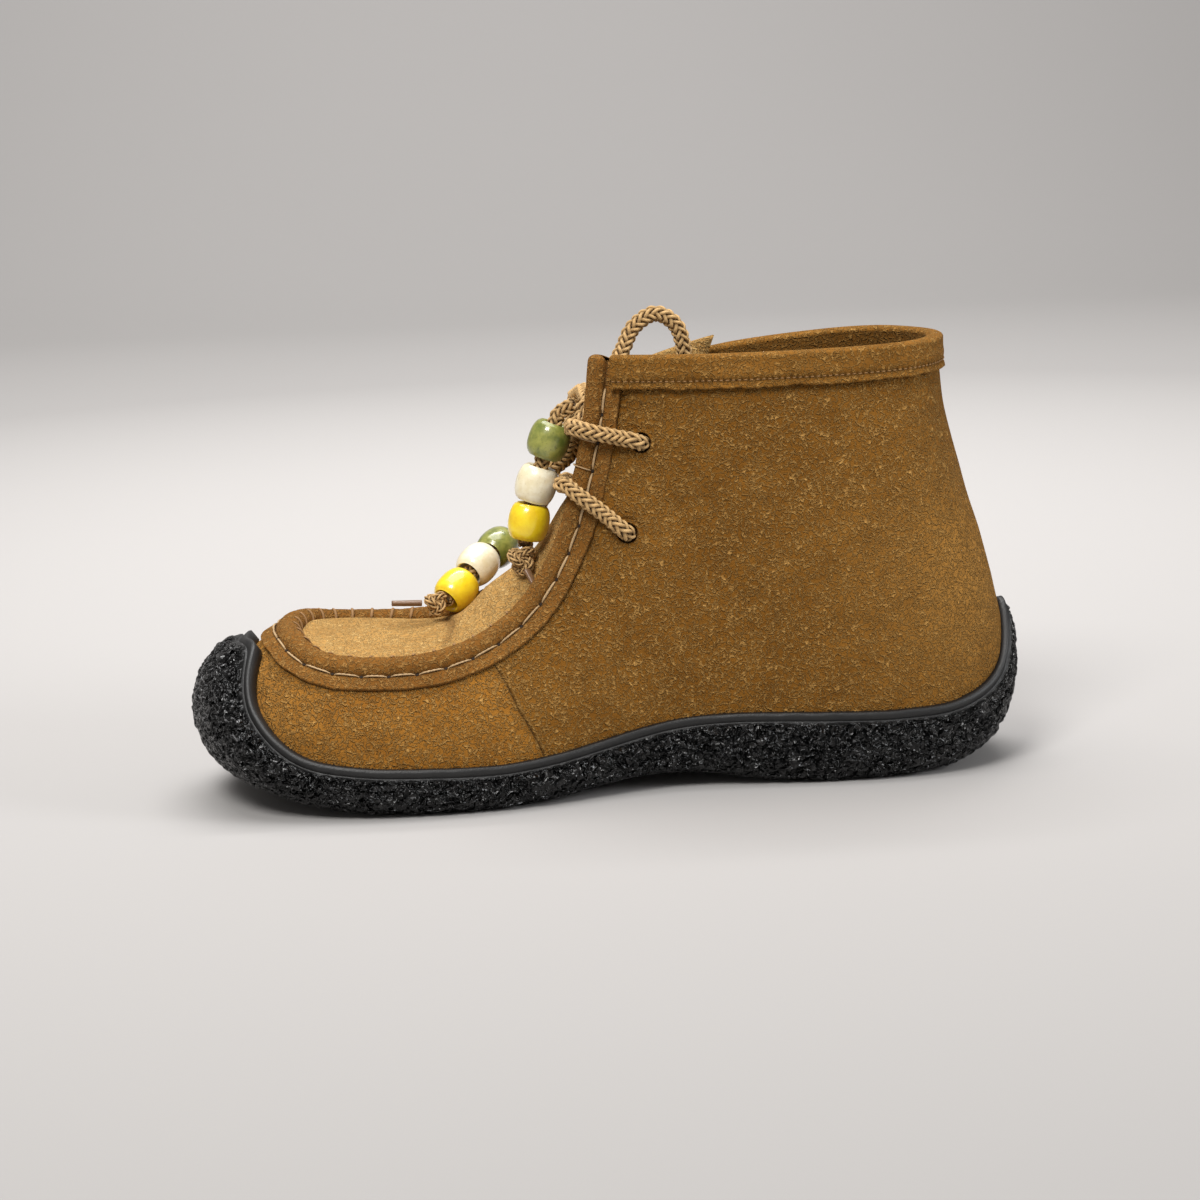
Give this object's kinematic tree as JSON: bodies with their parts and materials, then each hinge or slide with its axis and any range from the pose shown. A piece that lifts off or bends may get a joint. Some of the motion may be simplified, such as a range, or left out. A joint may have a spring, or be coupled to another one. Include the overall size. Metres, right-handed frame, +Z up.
{
  "type": "mukluk boot",
  "caption": "Ankle-high moccasin-toe suede mukluk for the right foot, with a rolled apron seam, a black rubber cup sole that climbs over toe and heel, and a beaded braided lace.",
  "frame": {"origin": "centre of the footprint's bounding box on the plane that the sole stands on, without the lace's knot, loops, ends and beads", "axes": "+X towards the heel, -Y towards the inner side of the foot, +Z up"},
  "size_m": [0.2727, 0.0993, 0.1549],
  "materials": {
    "suede": "brushed tan suede",
    "suede_edging": "brushed tan suede, rolled",
    "suede_apron": "lighter tan suede",
    "black_rubber": "pebbled, with a smooth lip",
    "lining": "matte",
    "braided_lace": "round braid",
    "aglet_resin": "brown",
    "green_glaze": "glazed",
    "cream_glaze": "glazed",
    "yellow_glaze": "glazed"
  },
  "bodies": {
    "root": {"outsole": "black_rubber", "insole": "lining", "upper": "suede", "moc_binding": "suede_edging", "collar_band": "suede_edging", "apron_tongue": "suede_apron", "lace_lower_bar": "braided_lace", "lace_upper_inner": "braided_lace", "lace_upper_outer": "braided_lace", "lace_knot": "braided_lace", "lace_loop_standing": "braided_lace", "lace_loop_hanging": "braided_lace", "lace_end_inner": "braided_lace", "lace_end_outer": "braided_lace", "end_knot_inner": "braided_lace", "end_knot_outer": "braided_lace", "aglet_inner": "aglet_resin", "bead_inner_green": "green_glaze", "bead_inner_cream": "cream_glaze", "bead_inner_yellow": "yellow_glaze", "aglet_outer": "aglet_resin", "bead_outer_green": "green_glaze", "bead_outer_cream": "cream_glaze", "bead_outer_yellow": "yellow_glaze"}
  },
  "joints": []
}
